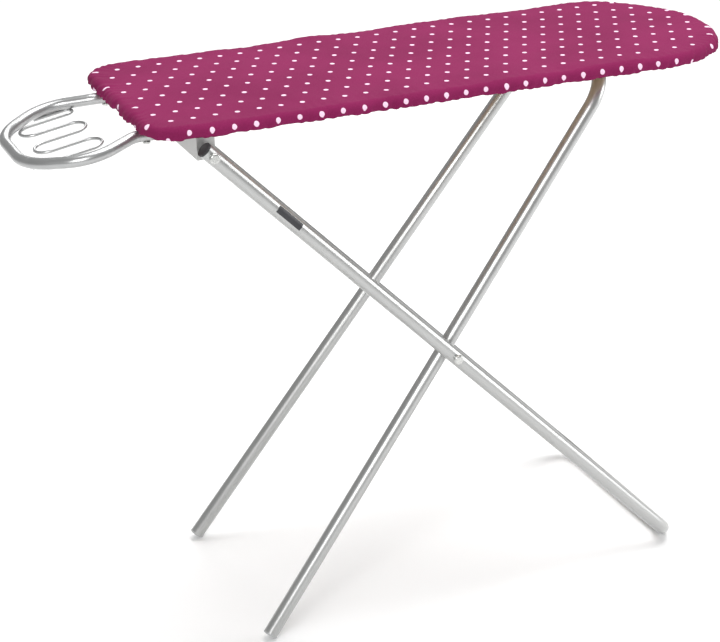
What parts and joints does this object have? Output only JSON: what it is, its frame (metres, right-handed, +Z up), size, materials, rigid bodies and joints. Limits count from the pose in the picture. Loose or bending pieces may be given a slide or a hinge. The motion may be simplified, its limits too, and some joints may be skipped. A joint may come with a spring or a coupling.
{
  "type": "folding ironing board",
  "caption": "Small folding ironing board: padded board with a dotted fabric cover, crossed round-tube legs and a wire iron rest at the squared end.",
  "frame": {"origin": "on the floor, under the middle of the overall length and width", "axes": "+Z up, +X towards the rounded nose, iron rest at -X"},
  "size_m": [0.81, 0.2792, 0.602],
  "materials": {
    "panel_board": "raw hardboard",
    "pad_foam": "soft foam",
    "cover_fabric": "matt cotton with white dots",
    "elastic_white": "woven elastic",
    "bracket_metal": "silver paint",
    "zinc_hardware": "zinc plated",
    "grey_plastic": "matt grey",
    "black_plastic": "matt black",
    "silver_tube": "satin silver paint",
    "rest_tube": "satin silver paint",
    "rest_wire": "satin silver paint",
    "label_dark": "blank dark label"
  },
  "bodies": {
    "board": {"board_panel": "panel_board", "foam_pad": "pad_foam", "fabric_cover": "cover_fabric", "hem_elastic": "elastic_white", "hinge_bracket": "bracket_metal", "bracket_screws": "zinc_hardware", "bar_catches": "grey_plastic", "catch_screws": "zinc_hardware", "hinge_bolts": "zinc_hardware", "hinge_washers": "black_plastic", "hinge_nuts": "zinc_hardware", "iron_rest_loop": "rest_tube", "iron_rest_wire": "rest_wire", "iron_rest_bolts": "zinc_hardware", "iron_rest_spacers": "grey_plastic", "iron_rest_inserts": "zinc_hardware"},
    "outer_leg": {"outer_leg_frame": "silver_tube", "outer_leg_plugs": "black_plastic", "blank_label": "label_dark", "pivot_bolts": "zinc_hardware", "pivot_spacers": "black_plastic", "pivot_washers": "zinc_hardware", "pivot_nuts": "zinc_hardware"},
    "inner_leg": {"inner_leg_frame": "silver_tube", "foot_plugs": "grey_plastic"}
  },
  "joints": [
    {"name": "outer_leg_fold", "type": "hinge", "parent": "board", "child": "outer_leg", "pos_m": [-0.231, 0, 0.57], "axis": [0, -1, 0], "range_deg": [0, 40.4]},
    {"name": "leg_pivot", "type": "hinge", "parent": "outer_leg", "child": "inner_leg", "pos_m": [0.03526, 0, 0.3], "axis": [0, 1, 0], "range_deg": [0, 95.21]}
  ],
  "couplings": [
    {"joint": "leg_pivot", "follows": "outer_leg_fold", "ratio": 2.3564}
  ]
}
